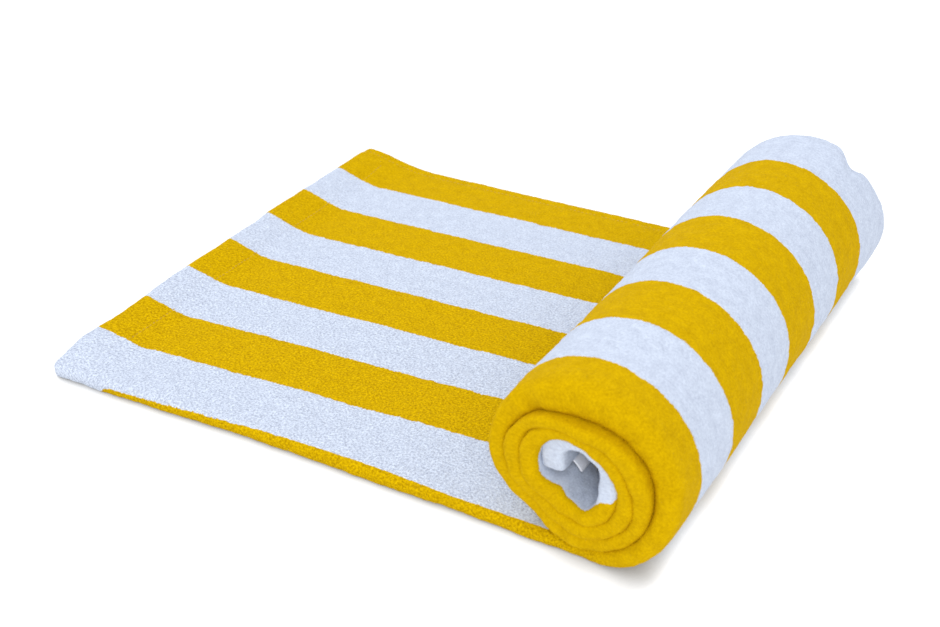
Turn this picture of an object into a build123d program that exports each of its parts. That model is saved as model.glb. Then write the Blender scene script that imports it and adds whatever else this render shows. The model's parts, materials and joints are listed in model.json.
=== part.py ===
from build123d import *
import math
import os

# A terry towel, folded in half lengthwise, its far end rolled up, lying on a flat surface.
# Millimetres. +X runs from the free end to the roll, +Y from the fold to the open long edge, +Z up.
# The origin is under the middle of the towel, on the surface that it lies on.
# Cloth bends, so the flat stretch is cut across into panels that hinge on each other's mid-line.

# ---- driving dimensions ----
TOWEL_WIDTH = 762.0  # the whole towel, before it is folded: 30 in
LAYER = 4.7  # one layer of terry with the pile on both its faces
SLIT = 0.2  # air between the two layers
FLAT_LENGTH = 390.0  # from the free end to the point where the roll touches the ground
FIRST_TURN_RADIUS = 53.7  # from the roll's axis to the middle of the outermost half-turn
HALF_TURNS = 7
TURN_GAP = 0.2  # air between one turn and the next
TAIL_RADIUS = 14.0  # the inner end curls tighter than the rest, through a quarter turn
TAIL_STRAIGHT = 10.0  # and then hangs straight down
TAIL_SETBACK = 10.0  # it is tucked in behind the roll's front face

PANELS = 10
PANEL_LENGTH = 28.2
HINGE_GAP = 0.1
BEVEL_DEGREES = 14.0  # half of the largest bend, and a little more

HEM_HEIGHT = 19.0  # the free end stands up: each layer's hem is turned over and sewn down
HEM_LENGTH = 30.0
HEM_RAMP = 30.0  # over this length the raised end comes down to the flat cloth
HEM_EDGE_RADIUS = 4.0

THREAD_WIDTH = 0.9
THREAD_DEPTH = 0.5
THREAD_CLEARANCE = 0.05
THREAD_END_GAP = 0.2  # between the end of a cross row and the end of its groove
SIDE_STITCH_INSET = 8.0  # from the open long edge to the side hem's stitching
END_STITCH_INSET = 25.0  # from the free end to the end hem's stitching
TAIL_STITCH_INSET = 7.0

LABEL_WIDTH = 30.0
LABEL_THICKNESS = 0.6
LABEL_BASE = 4.0  # sewn down on the inner end's hem
LABEL_RISE = 1.0  # from the inner end's lower rim up to the line that the label bends about
LABEL_FLAP = 13.0
LABEL_TILT = -46.0  # degrees from +X, so it hangs down into the roll's hollow
LABEL_FROM_FRONT = 16.0

# ---- sizes that follow ----
PAIR = 2 * LAYER + SLIT  # the folded cloth's thickness
MID = PAIR / 2
WIDTH = TOWEL_WIDTH / 2
PITCH = PAIR + TURN_GAP
LENGTH = FLAT_LENGTH + FIRST_TURN_RADIUS + MID
FREE_X = -LENGTH / 2
ROLL_X = FREE_X + FLAT_LENGTH
FRONT_Y = -WIDTH / 2
BACK_Y = WIDTH / 2
LAST_HINGE_X = ROLL_X - PANEL_LENGTH / 2
HINGES = [LAST_HINGE_X - PANEL_LENGTH * (PANELS - i) for i in range(PANELS + 1)]
SIDE_STITCH_Y = BACK_Y - SIDE_STITCH_INSET
GROOVE_WIDTH = THREAD_WIDTH + 2 * THREAD_CLEARANCE
GROOVE_DEPTH = THREAD_DEPTH + 2 * THREAD_CLEARANCE
BEVEL = MID * math.tan(math.radians(BEVEL_DEGREES))
CUT_MARGIN = 1.0  # how far a cutting shape reaches past the cloth that it cuts
NEAR = 0.01  # two heights closer than this count as the same


# ---- flat sketches ----
def rectangle(x0, x1, y0, y1):
    """A rectangle between two corners, on the XY plane."""
    return Pos((x0 + x1) / 2, (y0 + y1) / 2) * Rectangle(x1 - x0, y1 - y0)


def folded_outline(front=FRONT_Y):
    """The folded cloth cut across: (width, height about the mid-line), round at the fold."""
    return Pos(front + MID, 0) * Circle(MID) + rectangle(front + MID, BACK_Y, -MID, MID)


def side_grooves():
    """The two shallow grooves that hold the side hems' stitching, one on each face."""
    half = GROOVE_WIDTH / 2
    upper = rectangle(SIDE_STITCH_Y - half, SIDE_STITCH_Y + half, MID - GROOVE_DEPTH, MID)
    lower = rectangle(SIDE_STITCH_Y - half, SIDE_STITCH_Y + half, -MID, GROOVE_DEPTH - MID)
    return upper + lower


def cloth_section(front=FRONT_Y):
    """Two layers joined at the fold, open at the back, with the stitching's grooves."""
    slit = rectangle(front + LAYER, BACK_Y, -SLIT / 2, SLIT / 2)
    return folded_outline(front) - slit - side_grooves()


def thread_section():
    """The two side hems' threads cut across."""
    half = THREAD_WIDTH / 2
    outside = MID - THREAD_CLEARANCE
    inside = outside - THREAD_DEPTH
    upper = rectangle(SIDE_STITCH_Y - half, SIDE_STITCH_Y + half, inside, outside)
    lower = rectangle(SIDE_STITCH_Y - half, SIDE_STITCH_Y + half, -outside, -inside)
    return upper + lower


# ---- solids from them ----
def across(section, x, z):
    """A (width, height) section stood up across the towel at x, its mid-line at height z."""
    plane = Plane(origin=(x, 0, z), x_dir=(0, 1, 0), z_dir=(1, 0, 0))
    return plane * section


def along_flat(section, x0, x1, z=MID):
    """A section run straight from x0 to x1."""
    return extrude(across(section, x0, z), amount=x1 - x0, dir=(1, 0, 0))


def from_side(outline, y0, y1):
    """An (x, z) outline run across the towel from y0 to y1."""
    plane = Plane(origin=(0, y0, 0), x_dir=(1, 0, 0), z_dir=(0, -1, 0))
    return extrude(plane * outline, amount=y1 - y0, dir=(0, 1, 0))


def turn_radius(turn):
    """The mid-line's radius in one half-turn; each is half a pitch tighter than the one outside it."""
    return FIRST_TURN_RADIUS - turn * PITCH / 2


def turn_side(turn):
    """+1 for a half-turn that climbs from the bottom to the top, -1 for one that comes down."""
    return 1 if turn % 2 == 0 else -1


def turn_start_z(turn):
    """The mid-line's height where a half-turn starts."""
    return MID + sum(2 * turn_side(i) * turn_radius(i) for i in range(turn))


TAIL_TOP_Z = turn_start_z(HALF_TURNS) - TAIL_RADIUS
TAIL_END_Z = TAIL_TOP_Z - TAIL_STRAIGHT
TAIL_X = ROLL_X - TAIL_RADIUS
LABEL_X = TAIL_X + MID + 2 * THREAD_CLEARANCE + LABEL_THICKNESS / 2
LABEL_Z = TAIL_END_Z + LABEL_RISE
LABEL_Y = FRONT_Y + LABEL_FROM_FRONT


def part_turn(section, start_z, radius, degrees):
    """A section swept from straight above or below the roll's axis, radius away from start_z."""
    axis = Axis((ROLL_X, 0, start_z + radius), (0, -1, 0))
    return revolve(across(section, ROLL_X, start_z), axis, degrees)


def tail_drop(section):
    """A section run straight down from the end of the tail's quarter turn."""
    plane = Plane(origin=(TAIL_X, 0, TAIL_TOP_Z), x_dir=(0, 1, 0), z_dir=(0, 0, -1))
    return extrude(plane * section, amount=TAIL_STRAIGHT, dir=(0, 0, -1))


def rolled(section, tail_section):
    """A section wound from the last hinge, round every half-turn, to the end of the tail."""
    solid = along_flat(section, LAST_HINGE_X + HINGE_GAP / 2, ROLL_X)
    for turn in range(HALF_TURNS):
        solid += part_turn(section, turn_start_z(turn), turn_side(turn) * turn_radius(turn), 180)
    solid += part_turn(tail_section, turn_start_z(HALF_TURNS), -TAIL_RADIUS, 90)
    return solid + tail_drop(tail_section)


def hinge_bevels():
    """Wedges that clear the cloth's upper half on both sides of every hinge, so that it can bend."""
    wedges = []
    top = PAIR + CUT_MARGIN
    reach = BEVEL * (top - MID) / MID
    for x in HINGES:
        left = x - HINGE_GAP / 2
        right = x + HINGE_GAP / 2
        points = [(left, MID), (left - reach, top), (right + reach, top), (right, MID)]
        outline = Polygon(*points, align=None)
        wedges.append(from_side(outline, FRONT_Y - CUT_MARGIN, BACK_Y + CUT_MARGIN))
    return Compound(children=wedges)


# ---- the free end, with its hems ----
def free_end_top(drop=0.0):
    """The raised end's upper outline from the side, lowered by drop."""
    hem_x = FREE_X + HEM_LENGTH
    return [
        (FREE_X, HEM_HEIGHT - drop),
        (hem_x, HEM_HEIGHT - drop),
        (hem_x + HEM_RAMP, PAIR - drop),
        (HINGES[0] - HINGE_GAP / 2, PAIR - drop),
    ]


def band(upper, lower):
    """The region between two lines of (x, z) points that run the same way."""
    return Polygon(*upper, *reversed(lower), align=None)


def free_end_slit():
    """The air between the two layers, which rises with them over the hems."""
    hem_x = FREE_X + HEM_LENGTH
    middle = [
        (FREE_X, HEM_HEIGHT / 2),
        (hem_x, HEM_HEIGHT / 2),
        (hem_x + HEM_RAMP, MID),
        (HINGES[0] - HINGE_GAP / 2, MID),
    ]
    upper = [(x, z + SLIT / 2) for x, z in middle]
    lower = [(x, z - SLIT / 2) for x, z in middle]
    return from_side(band(upper, lower), FRONT_Y + LAYER, BACK_Y)


def free_end_side_strips(width, shallow, deep):
    """Strips along the side hem on the free end's top and bottom, from shallow to deep."""
    y0 = SIDE_STITCH_Y - width / 2
    y1 = SIDE_STITCH_Y + width / 2
    upper = from_side(band(free_end_top(shallow), free_end_top(deep)), y0, y1)
    lower = rectangle(FREE_X, HINGES[0] - HINGE_GAP / 2, shallow, deep)
    return upper + from_side(lower, y0, y1)


def cross_strips(x, top_z, bottom_z, width, shallow, deep, y0, y1):
    """Strips across the towel at x, one below top_z and one above bottom_z."""
    upper = rectangle(x - width / 2, x + width / 2, top_z - deep, top_z - shallow)
    lower = rectangle(x - width / 2, x + width / 2, bottom_z + shallow, bottom_z + deep)
    return from_side(upper, y0, y1) + from_side(lower, y0, y1)


def free_end_cross_strips(width, shallow, deep, end_gap):
    """The end hem's stitching, or its groove, on the free end's two faces."""
    x = FREE_X + END_STITCH_INSET
    y0 = FRONT_Y + 2 * HEM_EDGE_RADIUS + end_gap
    y1 = SIDE_STITCH_Y - 2 * GROOVE_WIDTH - end_gap
    return cross_strips(x, HEM_HEIGHT, 0, width, shallow, deep, y0, y1)


def free_end_cloth():
    """The towel's free end: the folded cloth, thicker over the turned hems."""
    end_x = HINGES[0] - HINGE_GAP / 2
    cloth = along_flat(folded_outline(), FREE_X, end_x)
    hem_top = free_end_top()[:3]
    raised = from_side(band(hem_top, [(x, MID) for x, _ in hem_top]), FRONT_Y + MID, BACK_Y)
    top_edges = raised.edges().filter_by(lambda edge: edge.center().Z > HEM_HEIGHT - NEAR)
    end_edges = [edge for edge in top_edges if edge.center().X < FREE_X + NEAR]
    front_edges = [edge for edge in top_edges if edge.center().Y < FRONT_Y + MID + NEAR]
    cloth += fillet(end_edges + front_edges, HEM_EDGE_RADIUS)
    cloth -= free_end_slit()
    cloth -= free_end_side_strips(GROOVE_WIDTH, 0, GROOVE_DEPTH)
    cloth -= free_end_cross_strips(GROOVE_WIDTH, 0, GROOVE_DEPTH, 0)
    return cloth


def free_end_side_thread():
    """The side hems' stitching on the free end, short of its rounded edge."""
    thread = free_end_side_strips(THREAD_WIDTH, THREAD_CLEARANCE, THREAD_CLEARANCE + THREAD_DEPTH)
    low = -CUT_MARGIN
    high = HEM_HEIGHT + CUT_MARGIN
    rounded = rectangle(FREE_X, FREE_X + HEM_EDGE_RADIUS, low, high)
    return thread - from_side(rounded, FRONT_Y, BACK_Y)


def free_end_hem_thread():
    """The free end hem's stitching, on both faces."""
    deep = THREAD_CLEARANCE + THREAD_DEPTH
    return free_end_cross_strips(THREAD_WIDTH, THREAD_CLEARANCE, deep, THREAD_END_GAP)


# ---- the roll's inner end, with its hem and label ----
def tail_strips(width, shallow, deep, end_gap):
    """The inner hem's stitching, or its groove, on the hanging tail's two faces."""
    z = TAIL_END_Z + TAIL_STITCH_INSET
    y0 = FRONT_Y + TAIL_SETBACK + PAIR + end_gap
    y1 = SIDE_STITCH_Y - 2 * GROOVE_WIDTH - end_gap
    inner = TAIL_X + MID
    outer = TAIL_X - MID
    strips = rectangle(inner - deep, inner - shallow, z - width / 2, z + width / 2)
    strips += rectangle(outer + shallow, outer + deep, z - width / 2, z + width / 2)
    return from_side(strips, y0, y1)


def care_label_base():
    """The strip of the label that is sewn down on the hem."""
    half = LABEL_THICKNESS / 2
    low = LABEL_Z + LABEL_THICKNESS
    strip = rectangle(LABEL_X - half, LABEL_X + half, low, LABEL_Z + LABEL_BASE)
    return from_side(strip, LABEL_Y, LABEL_Y + LABEL_WIDTH)


def label_stitching():
    """The row of stitches that holds the label's base, lying on it."""
    face = LABEL_X + LABEL_THICKNESS / 2 + THREAD_CLEARANCE
    z = LABEL_Z + (LABEL_THICKNESS + LABEL_BASE) / 2
    row = rectangle(face, face + THREAD_DEPTH, z - THREAD_WIDTH / 2, z + THREAD_WIDTH / 2)
    return from_side(row, LABEL_Y + THREAD_WIDTH, LABEL_Y + LABEL_WIDTH - THREAD_WIDTH)


def care_label_flap():
    """The label's free part, round along the line that it bends about."""
    half = LABEL_THICKNESS / 2
    flat = Circle(half) + rectangle(0, LABEL_FLAP, -half, half)
    outline = Pos(LABEL_X, LABEL_Z) * Rot(0, 0, LABEL_TILT) * flat
    return from_side(outline, LABEL_Y, LABEL_Y + LABEL_WIDTH)


# ---- the nodes ----
def flat_piece(section, index):
    """A section over one panel, from hinge to hinge."""
    x0 = HINGES[index] + HINGE_GAP / 2
    x1 = HINGES[index + 1] - HINGE_GAP / 2
    return along_flat(section, x0, x1)


def save(shape, name):
    """One STEP file for one node."""
    export_step(Compound(children=shape.solids()), "parts/" + name + ".step")


def main():
    os.makedirs("parts", exist_ok=True)
    bevels = hinge_bevels()

    save(free_end_cloth() - bevels, "free_end_cloth")
    save(free_end_side_thread() - bevels, "free_end_side_thread")
    save(free_end_hem_thread(), "free_end_hem_thread")

    for index in range(PANELS):
        number = "%02d" % (index + 1)
        save(flat_piece(cloth_section(), index) - bevels, "cloth_panel_" + number)
        save(flat_piece(thread_section(), index) - bevels, "side_thread_" + number)

    cloth = rolled(cloth_section(), cloth_section(FRONT_Y + TAIL_SETBACK))
    cloth -= bevels
    cloth -= tail_strips(GROOVE_WIDTH, 0, GROOVE_DEPTH, 0)
    save(cloth, "rolled_cloth")
    save(rolled(thread_section(), thread_section()) - bevels, "rolled_side_thread")

    deep = THREAD_CLEARANCE + THREAD_DEPTH
    save(tail_strips(THREAD_WIDTH, THREAD_CLEARANCE, deep, THREAD_END_GAP), "inner_end_hem_thread")
    save(care_label_base(), "care_label_base")
    save(label_stitching(), "label_stitching")
    save(care_label_flap(), "care_label_flap")


main()
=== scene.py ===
import json
import math

import bpy
import numpy as np
from mathutils import Matrix, Vector

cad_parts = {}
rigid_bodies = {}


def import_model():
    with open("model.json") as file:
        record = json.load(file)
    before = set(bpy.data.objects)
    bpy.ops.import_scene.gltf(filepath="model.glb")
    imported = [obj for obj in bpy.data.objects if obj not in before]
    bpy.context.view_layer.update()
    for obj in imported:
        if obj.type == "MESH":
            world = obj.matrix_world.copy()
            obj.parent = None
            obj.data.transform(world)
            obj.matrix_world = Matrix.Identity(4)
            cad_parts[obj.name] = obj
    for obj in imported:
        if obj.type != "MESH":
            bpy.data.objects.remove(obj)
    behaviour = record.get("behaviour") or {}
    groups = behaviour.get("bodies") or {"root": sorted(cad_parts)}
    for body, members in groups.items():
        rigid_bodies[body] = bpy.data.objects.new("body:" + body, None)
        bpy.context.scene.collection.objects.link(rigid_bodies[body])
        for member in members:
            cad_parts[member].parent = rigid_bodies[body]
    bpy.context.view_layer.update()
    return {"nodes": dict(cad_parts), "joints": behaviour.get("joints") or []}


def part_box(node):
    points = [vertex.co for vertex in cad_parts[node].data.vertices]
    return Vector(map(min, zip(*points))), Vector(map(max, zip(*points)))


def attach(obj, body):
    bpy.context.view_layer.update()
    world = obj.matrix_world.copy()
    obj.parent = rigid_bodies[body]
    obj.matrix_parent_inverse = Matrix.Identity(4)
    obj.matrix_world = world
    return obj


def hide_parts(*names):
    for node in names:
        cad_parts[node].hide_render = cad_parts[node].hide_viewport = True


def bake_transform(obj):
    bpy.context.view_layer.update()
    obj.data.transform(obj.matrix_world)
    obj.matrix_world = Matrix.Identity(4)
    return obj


# A striped terry towel, folded in half lengthwise and partly rolled up.
# The cloth is one closed slab. A point on it has two coordinates:
#   u, millimetres along the folded cloth, from the free end through the roll to its inner end;
#   q, round the folded section: -2 is the upper layer's open long edge, -1 to 1 is the fold,
#      and 2 is the lower layer's open long edge.
# Lengths in this script are millimetres until they reach Blender.

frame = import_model()

MM = 0.001


def node_box(node):
    """A CAD node's lowest and highest corners in millimetres."""
    low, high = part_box(node)
    return np.array(low) / MM, np.array(high) / MM


# ---- sizes from the frame ----
FREE_LOW, FREE_HIGH = node_box("free_end_cloth")
PANEL_HIGH = node_box("cloth_panel_01")[1]
ROLL_HIGH = node_box("rolled_cloth")[1]
BENDS = sorted(
    (j for j in frame["joints"] if j["name"].startswith("bend_")), key=lambda j: j["pos_m"][0]
)
HINGE_X = [j["pos_m"][0] / MM for j in BENDS]
FREE_X = FREE_LOW[0]
FRONT_Y, BACK_Y = FREE_LOW[1], FREE_HIGH[1]
PAIR = PANEL_HIGH[2]
MID = PAIR / 2
PANEL_LENGTH = HINGE_X[1] - HINGE_X[0]
ROLL_X = HINGE_X[-1] + PANEL_LENGTH / 2
FLAT_LENGTH = ROLL_X - FREE_X
FIRST_RADIUS = (ROLL_HIGH[2] - PAIR) / 2

# ---- the cloth ----
SLIT = 0.2
LAYER = (PAIR - SLIT) / 2
PITCH = PAIR + SLIT
HALF_TURNS = 7
TAIL_RADIUS = 14.0
TAIL_STRAIGHT = 10.0
STRIPES_ACROSS = 8
STRIPE = (BACK_Y - FRONT_Y) / STRIPES_ACROSS

HEM_START, HEM_END = -4.0, 40.0  # the turned hem's thickness fades out between these, along u
FREE_STITCH_U = 25.0
SIDE_STITCH_INSET = 8.0
STITCH_LENGTH = 2.6
STITCH_PITCH = 3.5
STITCH_RADIUS = 0.42
STITCH_SUNK = 0.2  # how far a stitch's ends lie below the pile
STITCH_BOW = 0.3  # how far its middle rises above its ends
STITCH_SIDES = 6
STITCHED_WIDTH = 372.0  # a layer's width, by which the stitches are spaced in q
END_STITCH_Q = 1.03  # where a row across the towel starts, just past the fold
INNER_STITCH_INSET = 7.0  # the inner end's row, from that end
CLEAR_OF_END = 4.0  # the side stitches keep this far from both ends

FRONT_CORNER, BACK_CORNER = 8.0, 9.0  # the free end's corner radii
SLANT = -0.018  # the roll's slight slant, in x for each unit of y
LOWEST = 0.05  # no point of the pile lies lower than this above the floor

FINE = 1.8
COARSE = 8.0
INNER_STEP = 3.0
FOLD_STEPS = 18
SAMPLED_WIDTH = 376.0  # a layer's width, by which its points are spaced
RIM_WIDTH = 4.0
END_REACH = 6.0  # evenly spaced rows begin this far from an end
OUTSIDE_PAST_TURN = 40.0  # how far the roll's outside piece runs into its third half-turn
OUTSIDE_FRONT = (60, 2.2)  # fine points near the fold: how far they reach, and their step
INSIDE_FRONT = (64, 2.2)

SEED_PILE = 11
SEED_SOFT = 23


def smooth(value, low, high):
    """0 below low, 1 above high, and smooth in between."""
    t = np.clip((value - low) / (high - low), 0, 1)
    return t * t * (3 - 2 * t)


def bump_at(value, centre, width):
    """A smooth bump one high."""
    return np.exp(-(((value - centre) / width) ** 2))


def noise(a, b, cell, seed):
    """Smooth noise between -1 and 1 on a plane, with features about one cell wide."""
    table = np.random.default_rng(seed).uniform(-1, 1, (256, 256))
    a, b = np.broadcast_arrays(a / cell, b / cell)
    ia, ib = np.floor(a).astype(int), np.floor(b).astype(int)
    fa, fb = a - ia, b - ib
    fa, fb = fa * fa * (3 - 2 * fa), fb * fb * (3 - 2 * fb)
    low = table[ia % 256, ib % 256] * (1 - fb) + table[ia % 256, (ib + 1) % 256] * fb
    high = table[(ia + 1) % 256, ib % 256] * (1 - fb)
    high = high + table[(ia + 1) % 256, (ib + 1) % 256] * fb
    return low * (1 - fa) + high * fa


# ---- the mid-line, from the free end to the inner end ----
def turn_pieces():
    """Each part-turn of the roll: its start along u, radius, centre's height, first angle and sweep;
    and the value of u where the last one ends."""
    pieces = []
    start_u, start_z = FLAT_LENGTH, MID
    for turn in range(HALF_TURNS + 1):
        tail = turn == HALF_TURNS
        radius = TAIL_RADIUS if tail else FIRST_RADIUS - turn * PITCH / 2
        side = 1 if turn % 2 == 0 else -1
        sweep = math.pi / 2 if tail else math.pi
        pieces.append((start_u, radius, start_z + side * radius, turn * math.pi, sweep))
        start_u += sweep * radius
        start_z += 2 * side * radius
    return pieces, start_u


TURNS, TAIL_U = turn_pieces()
END_U = TAIL_U + TAIL_STRAIGHT


def mid_line(u):
    """x and z of the folded cloth's mid-line at u, and the angle it has wound through there."""
    x = FREE_X + np.minimum(u, FLAT_LENGTH)
    z = np.full_like(u, MID)
    wound = np.zeros_like(u)
    for start_u, radius, centre_z, start_angle, sweep in TURNS:
        angle = start_angle + np.clip((u - start_u) / radius, 0, sweep)
        here = u >= start_u
        x = np.where(here, ROLL_X + radius * np.sin(angle), x)
        z = np.where(here, centre_z - radius * np.cos(angle), z)
        wound = np.where(here, angle, wound)
    return x, z - np.maximum(u - TAIL_U, 0), wound


# ---- how the cloth lies ----
def hem_share(u, y):
    """1 over the free end's turned hem, 0 past it; the hem thins towards the front corner."""
    inward = y - FRONT_Y
    across = smooth(inward, 3, 32) * (0.62 + 0.38 * smooth(inward, 40, 220))
    return (1 - smooth(u, HEM_START, HEM_END + 26 * smooth(inward, 320, 385))) * across


def layer_thickness(u, y):
    return LAYER * (1 + 1.2 * hem_share(u, y))


def outer_bulge(wound):
    """How far the roll's left side stands out past its CAD place, less for each turn further in."""
    round_it = bump_at(np.mod(wound, 2 * math.pi), 1.58 * math.pi, 0.26 * math.pi)
    return 3.8 * round_it * (1 - smooth(wound, 2 * math.pi, 6 * math.pi)) * (wound > 0.5)


def turn_edge(wound):
    """How far in from its CAD place the line between one turn and the next lies, at the roll's front.

    The outermost turn is puffed up at the top, and the hollow is squeezed to a slanting oblong."""
    turns = wound / math.pi
    pull = 1.6 * smooth(turns, 2.0, 2.2) * (1 - smooth(turns, 3.3, 3.5))
    pull += 10.5 * bump_at(turns, 2.97, 0.26) + 3.5 * bump_at(turns, 2.5, 0.22)
    pull += 1.5 * smooth(turns, 3.8, 4.0) * (1 - smooth(turns, 5.2, 5.4))
    pull += 5.0 * bump_at(turns, 4.62, 0.22) + 7.5 * bump_at(turns, 5.0, 0.16)
    pull += 1.5 * smooth(turns, 5.8, 6.0) * (1 - smooth(turns, 7.1, 7.3))
    pull += 2.0 * bump_at(turns, 6.5, 0.2) + 5.0 * bump_at(turns, 6.85, 0.14)
    pull += 3.5 * bump_at(turns, 7.8, 0.2) + 6.0 * bump_at(turns, 8.5, 0.25)
    return pull + 0.9 * noise(turns * 60, 0.0, 20, SEED_SOFT + 9) * smooth(turns, 1.8, 2.2)


def flattened(wound):
    """How far every turn is pressed in at the roll's lower left, near the front."""
    turns = wound / math.pi
    return 6.5 * bump_at(np.mod(turns + 1, 2), 0.79, 0.17) * smooth(turns, 1.2, 1.6)


def hollow_lean(wound):
    """How far the hollow's wall leans in behind the roll's front."""
    turns = wound / math.pi
    return 2.5 * smooth(turns, 5.2, 5.5) * (1 - smooth(turns, 5.95, 6.2))


def front_y(u, wound):
    """Where the fold's outside lies, in y."""
    turns = wound / math.pi
    flat = FRONT_Y - 2.0 + 10.5 * smooth(u, -80, 240)
    turned = smooth(turns, 0.1, 0.6)
    rolled = FRONT_Y + 4.5 - 4.0 * smooth(turns, 1.6, 2.6) - 3.0 * smooth(turns, 3.6, 4.6)
    rolled = rolled - 4.5 * bump_at(turns, 2.95, 0.35) + 5.0 * smooth(turns, 6.15, 6.6)
    wobble = 1.9 * noise(u, u * 0, 26, SEED_SOFT + 2) + 0.9 * noise(u, u * 0, 9, SEED_SOFT + 3)
    proud = 8.0 * bump_at(turns, 0.22, 0.2)
    return flat * (1 - turned) + rolled * turned - proud + wobble * smooth(turns, 0, 0.6)


def back_y(u, wound):
    """Where the open long edges lie, in y."""
    turned = smooth(wound, 0.0, 0.9)
    flat = BACK_Y - 4.5 + 8.0 * np.minimum(u, FLAT_LENGTH) / FLAT_LENGTH
    rolled = BACK_Y + 12.5 - 17.5 * smooth(wound, 1.4, 2.1)
    rolled = rolled - 13.0 * bump_at(wound, 2.48, 0.17)
    inner = 5.0 * smooth(wound, 1.6 * math.pi, 2.4 * math.pi)
    inner = inner + 5.0 * smooth(wound, 4 * math.pi, 5 * math.pi)
    wobble = 1.5 * noise(u, u * 0, 45, SEED_SOFT + 7) + 0.8 * noise(u, u * 0, 17, SEED_SOFT + 8)
    return flat * (1 - turned) + (rolled - inner) * turned + turned * wobble


def rounded_corner(inward, radius):
    """How far a round corner sets an end back, at a distance inward from the side."""
    return radius - np.sqrt(radius**2 - np.clip(radius - inward, 0, radius) ** 2)


def place(u, q, outward, pile=True):
    """Points on the cloth at u and q: on its pile for outward 1, its inside for -1, its middle for 0.

    Returns the points, the stripe coordinate (in stripes from the white-to-yellow line at the fold)
    and the length across the cloth from the fold."""
    u, q = np.broadcast_arrays(np.asarray(u, float), np.asarray(q, float))
    x, z, wound = mid_line(u)
    side = np.where(q < 0, -1.0, 1.0)
    along = np.clip(np.abs(q) - 1, 0, 1)
    turn = np.clip(np.abs(q), 0, 1) * math.pi / 2

    front, back = front_y(u, wound), back_y(u, wound)
    full = outer_bulge(wound)
    edge_in = turn_edge(wound) * (wound > 1.9 * math.pi) - full
    edge_in = edge_in - 5.0 * smooth(wound, 7.15 * math.pi, 7.4 * math.pi)
    edge_out = (turn_edge(wound + 2 * math.pi) - outer_bulge(wound + 2 * math.pi)) * (wound > 0)
    flat_gap = LAYER + SLIT
    fold_gap = flat_gap + np.maximum(edge_out - edge_in, -3.0)
    bulge = 0.5 * fold_gap
    centre = front + LAYER / 2 + bulge
    # the fold is boxier than a half circle, so that neighbouring turns meet near the front
    boxy = 1 - 0.68 * smooth(wound, 0.5, 3.0) * (1 - 0.35 * smooth(fold_gap, 8, 16))
    y = centre - bulge * np.cos(turn) ** boxy + along * (back - centre)

    # near the fold the turns are puffed up; deeper in they lie tight
    near = 1 - smooth(y - front, 14, 80)
    thick = layer_thickness(u, y)
    gap = thick + SLIT + (fold_gap - flat_gap) * near
    shift = (0.5 * (edge_in + edge_out) + flattened(wound)) * near - full * (1 - near)
    shift = shift + np.where(u < FLAT_LENGTH, (gap + thick) / 2 - MID, 0)
    shift = shift + hollow_lean(wound) * smooth(y - front, 8, 50)
    curl = smooth(y, back - 26, back + 4) ** 1.5 * smooth(wound, 0.5, 1.6)
    shift = shift + 7.0 * curl * (1 - 0.8 * smooth(wound, 2 * math.pi, 3 * math.pi))
    n = shift - side * gap / 2 * np.sin(turn) ** boxy

    # rounded rims: the slab thins to nothing at its open edges and its two ends
    rim = thick / 2
    to_edge = np.clip((1 - along) * (back - centre) / rim, 0, 1)
    to_end = np.clip(np.minimum(u, END_U - u) / rim, 0, 1)
    rounding = np.sqrt(1 - (1 - to_edge) ** 2) * np.sqrt(1 - (1 - to_end) ** 2)
    pressed = 1 - 0.85 * smooth(u, TAIL_U - 12, TAIL_U - 2)  # the label lies on the inner end
    plump = 0.9 * near * smooth(wound, 0.5, 2.0) * pressed
    offset = outward * (thick / 2 + plump) * rounding

    across = side * (turn * (bulge + thick / 2) + along * (back - centre))
    if pile and outward > 0:
        offset = offset + pile_height(u, across, y, back) * rounding * pressed
    y = y - offset * np.cos(turn)
    n = n - side * offset * np.sin(turn)

    # the whole towel: the free end's rounded corners and the roll's slight slant
    slant = SLANT * y * smooth(u, 120, FLAT_LENGTH)
    corner = rounded_corner(y - front, FRONT_CORNER) + rounded_corner(back - y, BACK_CORNER)
    end_wave = 1.2 * noise(y, u * 0, 60, SEED_SOFT + 5) + 0.5 * noise(y, u * 0, 15, SEED_SOFT + 6)
    x = x + slant + (corner + end_wave - 2.5) * (1 - smooth(u, 0, 45))
    points = np.stack([x - np.sin(wound) * n, y, z + np.cos(wound) * n], -1)
    if outward:
        points[..., 2] = np.maximum(points[..., 2], LOWEST)
    return points, stripe_coordinate(u, q, y, centre, wound), across


def pile_height(u, across, y, back):
    """The terry's uneven pile: loops, tufts and soft hollows, pressed down along the seams."""
    fine = 0.28 * noise(u, across, 3.1, SEED_PILE) + 0.22 * noise(u, across, 6.5, SEED_PILE + 1)
    soft = 0.35 * noise(u, across, 19, SEED_SOFT) + 0.5 * noise(u, across, 52, SEED_SOFT + 1)
    seam = 0.9 * bump_at(back - y, SIDE_STITCH_INSET, 2.2) + 0.45 * bump_at(u, FREE_STITCH_U, 1.5)
    return fine + soft - seam


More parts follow.
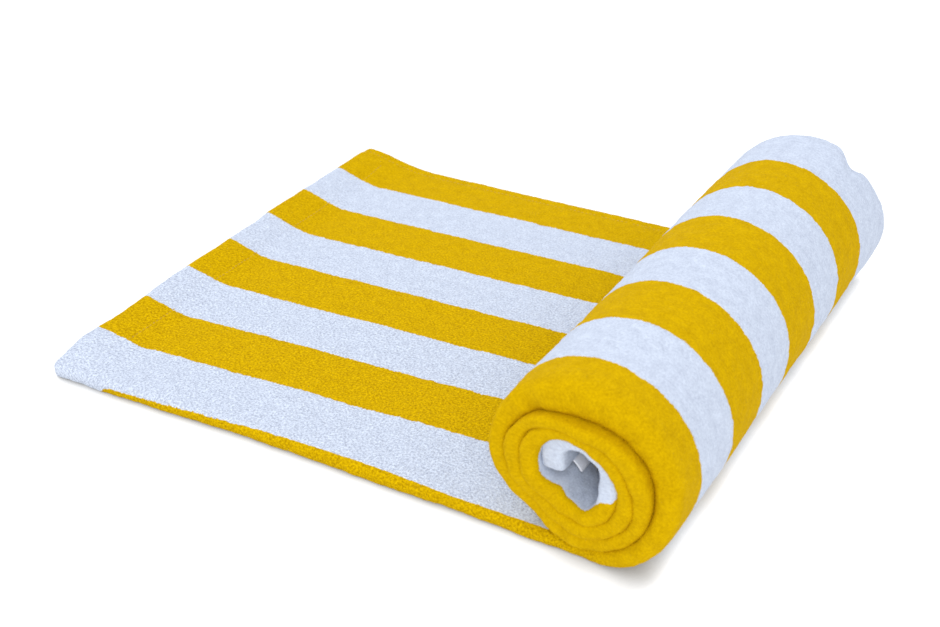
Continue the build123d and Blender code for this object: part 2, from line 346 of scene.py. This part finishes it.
def stripe_coordinate(u, q, y, centre, wound):
    """Stripes counted from the line at the fold: below 0 on the upper layer, above 0 on the lower."""
    rolled = smooth(wound, 0.2, 2.5)
    run = np.minimum(u, FLAT_LENGTH) / FLAT_LENGTH
    half = (BACK_Y - FRONT_Y) / 2

    def flat_count(y):
        return np.minimum(((y + 4.5 - 22.2 * run) / (1 - 0.054 * run) + half) / STRIPE, 7.95)

    def roll_count(y):
        return np.minimum(1 + (y + 158.0) / 46.9, 7.95)

    def upper_count(y):
        return flat_count(y) * (1 - rolled) + roll_count(y) * rolled

    # the line at the fold runs from underneath, at the free end, to the top of the fold, at the roll
    line = 0.95 - 1.1 * smooth(u, 36, 48) - 0.75 * smooth(u, 40, 240)
    line = line + 1.9 * smooth(wound, 6.2 * math.pi, 6.6 * math.pi)
    at_upper = -np.clip(upper_count(centre), 0.05, 0.9)
    at_lower = np.clip(roll_count(centre), 0.05, 0.9)
    in_fold = np.where(
        q >= line,
        at_lower * (q - line) / np.maximum(1 - line, 0.1),
        at_upper * (line - q) / np.maximum(1 + line, 0.1),
    )
    on_upper = -np.maximum(upper_count(y), -at_upper)
    on_lower = np.maximum(roll_count(y), at_lower)
    on_layer = np.where(q < 0, on_upper, on_lower)
    return np.where(np.abs(q) <= 1, in_fold, on_layer)


# ---- meshes ----
def layer_samples(step, fine_front=None):
    """How far along a layer its points lie, from 0 at the fold to 1 at the long edge."""
    to_rim = SAMPLED_WIDTH - RIM_WIDTH
    if fine_front:
        reach, front_step = fine_front
        front = np.arange(0, reach, front_step)
        rest = np.linspace(reach, to_rim, max(2, round((to_rim - reach) / step)))
        along = np.concatenate([front, rest])
    else:
        along = np.linspace(0, to_rim, round(to_rim / step))
    rim = SAMPLED_WIDTH - np.array([3.0, 2.1, 1.3, 0.7, 0.25, 0.0])
    return np.concatenate([along, rim]) / SAMPLED_WIDTH


def section_samples(upper, lower):
    """q for every point round the section, from the upper long edge to the lower one."""
    fold = np.linspace(-1, 1, FOLD_STEPS + 1)
    return np.concatenate([-1 - upper[:0:-1], fold, 1 + lower[1:]])


def end_samples():
    """u close to an end, where the slab is rounded."""
    return np.array([0.0, 0.2, 0.7, 1.4, 2.2, 3.2, 4.4])


def grid_normals(points, flip):
    """Normals of a grid of points, by differences along its rows and columns."""
    d_row = np.gradient(points, axis=0)
    d_column = np.gradient(points, axis=1)
    normal = np.cross(d_row, d_column)
    length = np.linalg.norm(normal, axis=-1, keepdims=True)
    return (-normal if flip else normal) / np.maximum(length, 1e-9)


def tidy_faces(quads):
    """Quads as lists, with a doubled corner dropped."""
    doubled = (
        (quads[:, 0] == quads[:, 1])
        | (quads[:, 1] == quads[:, 2])
        | (quads[:, 2] == quads[:, 3])
        | (quads[:, 3] == quads[:, 0])
    )
    faces = quads[~doubled].tolist()
    for quad in quads[doubled].tolist():
        face = [v for i, v in enumerate(quad) if v != quad[i - 1]]
        if len(face) > 2:
            faces.append(face)
    return faces


def sheet_quads(ids, reverse):
    """The quads of a grid of vertex numbers."""
    a, b, c, d = ids[:-1, :-1], ids[1:, :-1], ids[1:, 1:], ids[:-1, 1:]
    order = (a, b, c, d) if reverse else (a, d, c, b)
    return np.stack([corner.ravel() for corner in order], 1)


def used_only(faces, count):
    """Which of count vertices the faces use, and the faces renumbered for just those."""
    used = np.unique(np.concatenate([np.array(f) for f in faces]))
    renumber = np.zeros(count, int)
    renumber[used] = np.arange(len(used))
    return used, [renumber[f].tolist() for f in faces]


def smooth_mesh(name, vertices, faces):
    mesh = bpy.data.meshes.new(name)
    mesh.from_pydata(vertices, [], faces)
    mesh.polygons.foreach_set("use_smooth", np.ones(len(mesh.polygons), bool))
    return mesh


def cloth_piece(name, us, qs, start_rim=False, end_rim=False):
    """One stretch of the cloth between two values of u: a closed solid with pile, rims and stripes."""
    ghost = np.concatenate([[2 * us[0] - us[1]], us, [2 * us[-1] - us[-2]]])
    ghost = np.clip(ghost, 1e-3, END_U - 1e-3)
    grid_u, grid_q = ghost[:, None], qs[None, :]
    sheets, shades, stripes, acrosses = [], [], [], []
    for outward in (1, -1):
        points, stripe, across = place(grid_u, grid_q, outward)
        sheets.append(points[1:-1])
        shades.append(grid_normals(points, outward > 0)[1:-1])
        stripes.append(stripe[1:-1])
        acrosses.append(across[1:-1])
    rows, columns = len(us), len(qs)
    outer = np.arange(rows * columns).reshape(rows, columns)
    inner = outer + rows * columns
    inner[:, 0], inner[:, -1] = outer[:, 0], outer[:, -1]
    if start_rim:
        inner[0] = outer[0]
    if end_rim:
        inner[-1] = outer[-1]

    quads = [sheet_quads(outer, False), sheet_quads(inner, True)]
    if not start_rim:
        quads.append(np.stack([outer[0, :-1], outer[0, 1:], inner[0, 1:], inner[0, :-1]], 1))
    if not end_rim:
        quads.append(np.stack([outer[-1, 1:], outer[-1, :-1], inner[-1, :-1], inner[-1, 1:]], 1))
    used, faces = used_only(tidy_faces(np.concatenate(quads)), 2 * rows * columns)

    vertices = np.concatenate([s.reshape(-1, 3) for s in sheets])[used] * MM
    normals = np.concatenate([s.reshape(-1, 3) for s in shades])[used]
    stripe = np.concatenate([s.ravel() for s in stripes])[used]
    along = np.tile(np.repeat(us, columns), 2)[used]
    across = np.concatenate([a.ravel() for a in acrosses])[used]

    mesh = smooth_mesh(name, vertices.tolist(), faces)
    add_uv(mesh, "stripes", along * MM, stripe * STRIPE * MM)
    add_uv(mesh, "pile", along * MM, across * MM)
    mesh.normals_split_custom_set_from_vertices(normals.tolist())
    return new_object(name, mesh, MATERIALS["terry"])


def add_uv(mesh, name, along, across):
    """Cloth coordinates in metres, kept on the mesh so that the pattern moves with it."""
    loops = np.zeros(len(mesh.loops), int)
    mesh.loops.foreach_get("vertex_index", loops)
    layer = mesh.uv_layers.new(name=name)
    layer.data.foreach_set("uv", np.stack([along[loops], across[loops]], 1).ravel())


def new_object(name, mesh, material):
    piece = bpy.data.objects.new(name, mesh)
    bpy.context.scene.collection.objects.link(piece)
    mesh.materials.append(material)
    return piece


# ---- stitches ----
def stitch_row(name, starts, ends, outs, stripes):
    """A row of short raised stitches, each between two points, bowed along its outward direction."""
    along = np.array([0.0, 0.12, 0.5, 0.88, 1.0])
    swell = np.array([0.25, 0.85, 1.0, 0.85, 0.25])
    sides = STITCH_SIDES
    vertices, faces, uvs = [], [], []
    for start, end, out, stripe in zip(starts, ends, outs, stripes):
        run = (end - start) / np.linalg.norm(end - start)
        across = np.cross(run, out)
        base = len(vertices)
        for t, size in zip(along, swell):
            rise = STITCH_BOW * math.sin(math.pi * t) - STITCH_SUNK
            centre = start + (end - start) * t + out * rise
            for k in range(sides):
                angle = 2 * math.pi * k / sides
                ring = across * math.cos(angle) + out * math.sin(angle)
                vertices.append((centre + ring * STITCH_RADIUS * size) * MM)
                uvs.append(stripe)
        for ring in range(len(along) - 1):
            for k in range(sides):
                a = base + ring * sides + k
                b = base + ring * sides + (k + 1) % sides
                faces.append([a, b, b + sides, a + sides])
        faces.append([base + k for k in reversed(range(sides))])
        faces.append([base + (len(along) - 1) * sides + k for k in range(sides)])
    mesh = smooth_mesh(name, [tuple(v) for v in vertices], faces)
    stripe = np.array(uvs) * STRIPE * MM
    add_uv(mesh, "stripes", np.array([v[0] for v in vertices]), stripe)
    return new_object(name, mesh, MATERIALS["thread"])


def outward_direction(u, q):
    """Which way the cloth faces at u and q."""
    outside = place(u, q, 1, pile=False)[0]
    middle = place(u, q, 0)[0]
    way = outside - middle
    return way / np.linalg.norm(way, axis=-1, keepdims=True)


def side_stitches(name, start_u, end_u):
    """The side hems' stitching on both layers, between two values of u."""
    first = math.ceil(start_u / STITCH_PITCH)
    last = math.floor((end_u - STITCH_LENGTH) / STITCH_PITCH)
    us = STITCH_PITCH * np.arange(first, last + 1)
    us = us[(us > CLEAR_OF_END) & (us < END_U - CLEAR_OF_END - STITCH_LENGTH)]
    q = 2 - SIDE_STITCH_INSET / STITCHED_WIDTH
    starts, ends, outs, stripes = [], [], [], []
    for level in (-q, q):
        start, stripe, _ = place(us, level, 1)
        end = place(us + STITCH_LENGTH, level, 1)[0]
        starts.append(start)
        ends.append(end)
        outs.append(outward_direction(us + STITCH_LENGTH / 2, level))
        stripes.append(stripe)
    parts = [np.concatenate(part) for part in (starts, ends, outs, stripes)]
    return stitch_row(name, *parts)


def end_stitches(name, u):
    """The stitching across the towel near one of its ends, on both layers."""
    pitch = STITCH_PITCH / STITCHED_WIDTH
    reach = 2 - END_STITCH_Q - 2 * SIDE_STITCH_INSET / STITCHED_WIDTH
    qs = END_STITCH_Q + pitch * np.arange(int(reach / pitch))
    starts, ends, outs, stripes = [], [], [], []
    for side in (-1, 1):
        start, stripe, _ = place(u, side * qs, 1)
        end = place(u, side * (qs + STITCH_LENGTH / STITCHED_WIDTH), 1)[0]
        starts.append(start)
        ends.append(end)
        outs.append(outward_direction(u, side * qs))
        stripes.append(stripe)
    parts = [np.concatenate(part) for part in (starts, ends, outs, stripes)]
    return stitch_row(name, *parts)


# ---- the care label ----
def label_flap():
    """The care label's free part: a thin ribbon with a soft curl."""
    low, high = node_box("care_label_flap")
    thick = 0.5
    top_inset, top_drop = 0.6, 0.3
    tip_inset, tip_rise = 1.6, 1.75  # the tip stops short of the hollow's wall
    top = np.array([low[0] + top_inset, high[2] - top_drop])
    tip = np.array([high[0] - tip_inset, low[2] + tip_rise])
    length = np.linalg.norm(tip - top)
    run = (tip - top) / length
    out = np.array([-run[1], run[0]])
    rows, columns = 15, 31
    t = np.linspace(0, 1, rows)[:, None]
    s = np.linspace(0, 1, columns)[None, :]
    curl = 0.7 * np.sin(math.pi * t) + 0.35 * np.sin(2 * math.pi * s + 0.5) * t
    side_rim = np.sqrt(np.clip(1 - (2 * s - 1) ** 16, 0, 1))
    end_rim = np.sqrt(np.clip(1 - np.abs(2 * t - 1) ** 16, 0, 1))
    rim = side_rim * end_rim
    vertices, sheets = [], []
    for way in (1, -1):
        offset = curl + way * thick / 2 * rim
        x = top[0] + run[0] * length * t + out[0] * offset
        z = top[1] + run[1] * length * t + out[1] * offset
        y = low[1] + (high[1] - low[1]) * s + 0 * t
        sheets.append(np.arange(rows * columns).reshape(rows, columns) + len(vertices))
        vertices += np.stack([x, y, z], -1).reshape(-1, 3).tolist()
    front, back = sheets
    back[0], back[-1] = front[0], front[-1]
    back[:, 0], back[:, -1] = front[:, 0], front[:, -1]
    quads = [sheet_quads(front, True), sheet_quads(back, False)]
    used, faces = used_only(tidy_faces(np.concatenate(quads)), len(vertices))
    mesh = smooth_mesh("care_label", (np.array(vertices)[used] * MM).tolist(), faces)
    return new_object("care_label", mesh, MATERIALS["label"])


# ---- materials ----
class Nodes:
    """A short way to write a node material."""

    def __init__(self, name):
        self.material = bpy.data.materials.new(name)
        self.material.use_nodes = True
        self.tree = self.material.node_tree
        self.shader = self.tree.nodes["Principled BSDF"]

    def add(self, kind, **values):
        node = self.tree.nodes.new(kind)
        for key, value in values.items():
            setattr(node, key, value)
        return node

    def link(self, source, target):
        self.tree.links.new(source, target)

    def feed(self, target, source):
        """Links source to a socket, or sets the socket if source is a plain value."""
        if isinstance(source, bpy.types.NodeSocket):
            self.link(source, target)
        else:
            target.default_value = source

    def maths(self, operation, a, b=0.0, c=0.0):
        node = self.add("ShaderNodeMath", operation=operation)
        for socket, source in zip(node.inputs, (a, b, c)):
            self.feed(socket, source)
        return node.outputs[0]

    def mix(self, factor, a, b, blend="MIX"):
        node = self.add("ShaderNodeMix", data_type="RGBA", blend_type=blend)
        self.feed(node.inputs["Factor"], factor)
        self.feed(node.inputs[6], a)
        self.feed(node.inputs[7], b)
        return node.outputs[2]

    def grain(self, vector, scale, detail=2.0, roughness=0.6):
        node = self.add("ShaderNodeTexNoise")
        self.link(vector, node.inputs["Vector"])
        node.inputs["Scale"].default_value = scale
        node.inputs["Detail"].default_value = detail
        node.inputs["Roughness"].default_value = roughness
        return node.outputs["Fac"]

    def spread(self, value, low, high):
        """value stretched so that low becomes 0 and high becomes 1, and held there."""
        node = self.add("ShaderNodeMapRange")
        self.feed(node.inputs["Value"], value)
        node.inputs["From Min"].default_value = low
        node.inputs["From Max"].default_value = high
        return node.outputs["Result"]


YELLOW_DARK = (0.31, 0.165, 0.0, 1)
YELLOW = (0.73, 0.47, 0.0, 1)
WHITE_DARK = (0.30, 0.33, 0.415, 1)
WHITE = (0.70, 0.765, 0.86, 1)


def striped_colour(nodes, pile, ragged):
    """1 where the cloth's stripe coordinate makes it yellow and 0 where it is white."""
    split = nodes.add("ShaderNodeSeparateXYZ")
    nodes.link(nodes.add("ShaderNodeUVMap", uv_map="stripes").outputs[0], split.inputs[0])
    wander = nodes.maths("SUBTRACT", nodes.grain(pile, 620, 2.0), 0.5)
    slow = nodes.maths("SUBTRACT", nodes.grain(pile, 130, 1.0), 0.5)
    stripe = nodes.maths("MULTIPLY_ADD", wander, 0.0026 * ragged, split.outputs[1])
    stripe = nodes.maths("MULTIPLY_ADD", slow, 0.0022 * ragged, stripe)
    place_in_pair = nodes.maths("FRACT", nodes.maths("DIVIDE", stripe, 2 * STRIPE * MM))
    from_middle = nodes.maths("ABSOLUTE", nodes.maths("SUBTRACT", place_in_pair, 0.25))
    return nodes.spread(nodes.maths("SUBTRACT", 0.25, from_middle), -0.002, 0.002)


def terry():
    """Looped cotton pile: speckled by its loops, soft at a glancing angle, with ragged stripe edges."""
    nodes = Nodes("terry")
    uv = nodes.add("ShaderNodeUVMap", uv_map="pile").outputs[0]
    is_yellow = striped_colour(nodes, uv, 1.0)
    split = nodes.add("ShaderNodeSeparateXYZ")
    nodes.link(uv, split.inputs[0])
    calm = nodes.spread(split.outputs[0], (FLAT_LENGTH - 10) * MM, (FLAT_LENGTH + 30) * MM)
    from_fold = nodes.spread(nodes.maths("ABSOLUTE", split.outputs[1]), 0.12, 0.36)
    calm = nodes.maths("MAXIMUM", calm, nodes.maths("MULTIPLY", from_fold, 0.85))
    speck = nodes.spread(nodes.grain(uv, 640, 3.0, 0.85), 0.38, 0.62)
    mottle = nodes.spread(nodes.grain(uv, 130, 3.0), 0.25, 0.75)
    speck_share = nodes.maths("MULTIPLY_ADD", calm, -0.50, 0.80)
    mottle_share = nodes.maths("MULTIPLY_ADD", calm, 0.04, 0.20)
    loops = nodes.maths("MULTIPLY_ADD", nodes.maths("SUBTRACT", speck, 0.5), speck_share, 0.5)
    loops = nodes.maths("MULTIPLY_ADD", nodes.maths("SUBTRACT", mottle, 0.5), mottle_share, loops)
    yellow = nodes.mix(loops, YELLOW_DARK, YELLOW)
    white = nodes.mix(loops, WHITE_DARK, WHITE)
    colour = nodes.mix(is_yellow, white, yellow)
    nodes.link(colour, nodes.shader.inputs["Base Color"])
    nodes.feed(nodes.shader.inputs["Roughness"], nodes.maths("MULTIPLY_ADD", speck, -0.1, 0.98))
    nodes.shader.inputs["Specular IOR Level"].default_value = 0.04
    nodes.shader.inputs["Sheen Weight"].default_value = 0.04
    nodes.shader.inputs["Sheen Roughness"].default_value = 0.5
    nodes.link(colour, nodes.shader.inputs["Sheen Tint"])
    cells = nodes.add("ShaderNodeTexVoronoi", feature="F1")
    nodes.link(uv, cells.inputs["Vector"])
    cells.inputs["Scale"].default_value = 620
    height = nodes.maths("SUBTRACT", nodes.grain(uv, 1100, 2.0, 0.7), cells.outputs["Distance"])
    bump = nodes.add("ShaderNodeBump")
    nodes.feed(bump.inputs["Strength"], nodes.maths("MULTIPLY_ADD", calm, -0.2, 0.55))
    bump.inputs["Distance"].default_value = 0.0007
    nodes.link(height, bump.inputs["Height"])
    nodes.link(bump.outputs[0], nodes.shader.inputs["Normal"])
    return nodes.material


def thread():
    """Sewing thread dyed to match the stripe it crosses, with its twist."""
    nodes = Nodes("thread")
    uv = nodes.add("ShaderNodeUVMap", uv_map="stripes").outputs[0]
    is_yellow = striped_colour(nodes, uv, 0.0)
    place_in = nodes.add("ShaderNodeTexCoord").outputs["Object"]
    twist = nodes.add("ShaderNodeTexWave", bands_direction="DIAGONAL")
    nodes.link(place_in, twist.inputs["Vector"])
    twist.inputs["Scale"].default_value = 900
    twist.inputs["Distortion"].default_value = 1.0
    shade = nodes.spread(twist.outputs["Fac"], 0.0, 1.0)
    yellow = nodes.mix(shade, (0.42, 0.24, 0.001, 1), (0.62, 0.38, 0.002, 1))
    white = nodes.mix(shade, (0.48, 0.53, 0.64, 1), (0.64, 0.69, 0.80, 1))
    nodes.link(nodes.mix(is_yellow, white, yellow), nodes.shader.inputs["Base Color"])
    nodes.shader.inputs["Roughness"].default_value = 0.55
    bump = nodes.add("ShaderNodeBump")
    bump.inputs["Strength"].default_value = 0.4
    bump.inputs["Distance"].default_value = 0.0002
    nodes.link(twist.outputs["Fac"], bump.inputs["Height"])
    nodes.link(bump.outputs[0], nodes.shader.inputs["Normal"])
    return nodes.material


def label_ribbon():
    """White woven ribbon with fine ribs and a satin shine."""
    nodes = Nodes("label_ribbon")
    place_in = nodes.add("ShaderNodeTexCoord").outputs["Object"]
    ribs = nodes.add("ShaderNodeTexWave", bands_direction="Y")
    nodes.link(place_in, ribs.inputs["Vector"])
    ribs.inputs["Scale"].default_value = 650
    ribs.inputs["Distortion"].default_value = 0.4
    worn = nodes.grain(place_in, 400, 3.0)
    tone = nodes.maths("MULTIPLY_ADD", worn, 0.4, nodes.maths("MULTIPLY", ribs.outputs["Fac"], 0.6))
    colour = nodes.mix(tone, (0.80, 0.82, 0.88, 1), (0.93, 0.94, 0.97, 1))
    nodes.link(colour, nodes.shader.inputs["Base Color"])
    nodes.shader.inputs["Roughness"].default_value = 0.42
    bump = nodes.add("ShaderNodeBump")
    bump.inputs["Strength"].default_value = 0.3
    bump.inputs["Distance"].default_value = 0.0002
    nodes.link(ribs.outputs["Fac"], bump.inputs["Height"])
    nodes.link(bump.outputs[0], nodes.shader.inputs["Normal"])
    return nodes.material


def studio_floor():
    """A pale floor that glows white as painted light, faintly mottled, and dark only where the towel
    all but touches it: a painted contact shadow.
    """
    nodes = Nodes("studio_floor")
    place_in = nodes.add("ShaderNodeTexCoord").outputs["Object"]
    tone = nodes.grain(place_in, 1.5, 1.0)
    grey = nodes.mix(tone, (0.22, 0.22, 0.22, 1), (0.24, 0.24, 0.24, 1))
    nodes.link(grey, nodes.shader.inputs["Base Color"])
    nodes.shader.inputs["Roughness"].default_value = 0.9
    nodes.shader.inputs["Specular IOR Level"].default_value = 0.1
    # painted contact shadow: the floor's glow is dimmed by how much of the towel lies within 16 mm of
    # it
    painted_contact_shadow = nodes.add("ShaderNodeAmbientOcclusion")
    painted_contact_shadow.samples = 6
    painted_contact_shadow.inputs["Distance"].default_value = 0.016
    # the painted shadow leans: it reaches further beside the roll's right side than in front of the
    # towel
    painted_shadow_lean = nodes.add("ShaderNodeCombineXYZ")
    for part, value in zip(painted_shadow_lean.inputs, (-0.60, -0.45, 0.66)):
        part.default_value = value
    nodes.link(painted_shadow_lean.outputs[0], painted_contact_shadow.inputs["Normal"])
    # painted light and shadow: the floor glows white, less where the painted contact shadow falls
    glow_with_painted_shadow = nodes.maths("POWER", painted_contact_shadow.outputs["AO"], 1.6)
    nodes.link(nodes.maths("MULTIPLY", glow_with_painted_shadow, 0.92), nodes.shader.inputs["Emission Strength"])
    nodes.shader.inputs["Emission Color"].default_value = (1, 1, 1, 1)
    nodes.material.cycles.emission_sampling = "NONE"
    return nodes.material


MATERIALS = {"terry": terry(), "thread": thread(), "label": label_ribbon()}


# ---- the towel's pieces ----
def bending_slices():
    """For each hinge: its joint, and where the slice of cloth centred on it starts and ends."""
    for joint, x in zip(BENDS, HINGE_X):
        middle = x - FREE_X
        yield joint, middle - PANEL_LENGTH / 2, middle + PANEL_LENGTH / 2


def bend_with(piece):
    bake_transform(piece)


def flat_cloth():
    """The free end with its stitching, on the first hinge's parent body, and a stretch of cloth with
    its side stitching around each hinge.
    """
    samples = section_samples(layer_samples(FINE), layer_samples(COARSE))
    first_u = HINGE_X[0] - FREE_X - PANEL_LENGTH / 2
    even_us = np.linspace(END_REACH, first_u, round((first_u - END_REACH) / FINE))
    us = np.concatenate([end_samples(), even_us])
    free_end = cloth_piece("terry_free_end", us, samples, start_rim=True)
    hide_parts("free_end_cloth")
    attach(free_end, BENDS[0]["parent"])

    side = side_stitches("side_stitches_free_end", 0, first_u)
    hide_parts("free_end_side_thread")
    hem = end_stitches("free_end_hem_stitches", FREE_STITCH_U)
    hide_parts("free_end_hem_thread")
    for piece in (side, hem):
        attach(piece, BENDS[0]["parent"])

    for index, (joint, start_u, end_u) in enumerate(bending_slices()):
        number = "%02d" % (index + 1)
        us = np.linspace(start_u, end_u, round(PANEL_LENGTH / FINE) + 1)
        piece = cloth_piece("terry_bend_" + number, us, samples)
        stitches = side_stitches("side_stitches_bend_" + number, start_u, end_u)
        if "cloth_panel_" + number in frame["nodes"]:
            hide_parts("cloth_panel_" + number)
            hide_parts("side_thread_" + number)
        bend_with(piece)
        bend_with(stitches)


def rolled_cloth():
    """The roll: its outermost turn in fine detail, the turns inside it, and their stitching."""
    body = BENDS[-1]["child"]
    outer_end = TURNS[2][0] + OUTSIDE_PAST_TURN
    outer_us = np.linspace(FLAT_LENGTH, outer_end, round((outer_end - FLAT_LENGTH) / FINE))
    outer_samples = section_samples(layer_samples(COARSE, OUTSIDE_FRONT), layer_samples(FINE))
    outer = cloth_piece("terry_roll_outside", outer_us, outer_samples)
    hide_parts("rolled_cloth")

    inner_samples = layer_samples(COARSE, INSIDE_FRONT)
    inner_samples = section_samples(inner_samples, inner_samples)
    tail_us = END_U - end_samples()[::-1]
    last_u = END_U - END_REACH
    even_us = np.linspace(outer_end, last_u, round((last_u - outer_end) / INNER_STEP))
    inner_us = np.concatenate([even_us, tail_us])
    inner = cloth_piece("terry_roll_inside", inner_us, inner_samples, end_rim=True)

    side = side_stitches("side_stitches_roll", FLAT_LENGTH, END_U)
    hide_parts("rolled_side_thread")
    hem = end_stitches("inner_end_hem_stitches", END_U - INNER_STITCH_INSET)
    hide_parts("inner_end_hem_thread")
    for piece, name in ((outer, "terry"), (inner, "terry"), (side, "thread"), (hem, "thread")):
        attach(piece, body)


def care_label():
    """The label's base and its stitching are the CAD's own; its flap is a curled ribbon."""
    for node, material in (("care_label_base", "label"), ("label_stitching", "thread")):
        slots = frame["nodes"][node].data.materials
        slots.clear()
        slots.append(MATERIALS[material])
    flap = label_flap()
    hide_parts("care_label_flap")
    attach(flap, "label")


# ---- floor, light and camera ----
def floor():
    bpy.ops.mesh.primitive_plane_add(size=30, location=(0, 0, 0))
    plane = bpy.context.object
    plane.name = "studio_floor"
    plane.data.materials.append(studio_floor())


def soft_box(name, location, size, power):
    """A square lamp aimed at the towel."""
    lamp = bpy.data.lights.new(name, "AREA")
    lamp.size = size
    lamp.energy = power
    holder = bpy.data.objects.new(name, lamp)
    holder.location = location
    holder.rotation_euler = (-Vector(location)).to_track_quat("-Z", "Y").to_euler()
    bpy.context.scene.collection.objects.link(holder)


def studio():
    world = bpy.data.worlds.new("studio")
    world.use_nodes = True
    background = world.node_tree.nodes["Background"]
    background.inputs["Color"].default_value = (0.975, 1.0, 1.06, 1)
    background.inputs["Strength"].default_value = 1.08
    bpy.context.scene.world = world
    soft_box("key", (-2.2, 0.2, 3.4), 1.8, 46)
    soft_box("front", (1.36, -2.2, 1.60), 1.2, 28)
    bpy.context.scene.view_settings.view_transform = "Standard"


def camera():
    """Looks down at the towel from the fold's side, past the roll's front end."""
    azimuth = math.radians(-31.71)
    elevation = math.radians(30.81)
    tilt = math.radians(-1.39)
    distance = 1.0486
    target = Vector((-0.0223, 0.0161, 0))
    forward = Vector(
        (
            math.sin(azimuth) * math.cos(elevation),
            math.cos(azimuth) * math.cos(elevation),
            -math.sin(elevation),
        )
    )
    level = forward.cross(Vector((0, 0, 1))).normalized()
    top = level.cross(forward)
    right = math.cos(tilt) * level + math.sin(tilt) * top
    up = -math.sin(tilt) * level + math.cos(tilt) * top
    data = bpy.data.cameras.new("camera")
    data.lens = 55.9
    data.clip_end = 50
    data.dof.use_dof = True
    data.dof.focus_distance = 0.99
    data.dof.aperture_fstop = 14
    holder = bpy.data.objects.new("camera", data)
    turned = Matrix((right, up, -forward)).transposed().to_4x4()
    holder.matrix_world = Matrix.Translation(target - forward * distance) @ turned
    bpy.context.scene.collection.objects.link(holder)
    bpy.context.scene.camera = holder


flat_cloth()
rolled_cloth()
care_label()
floor()
studio()
camera()
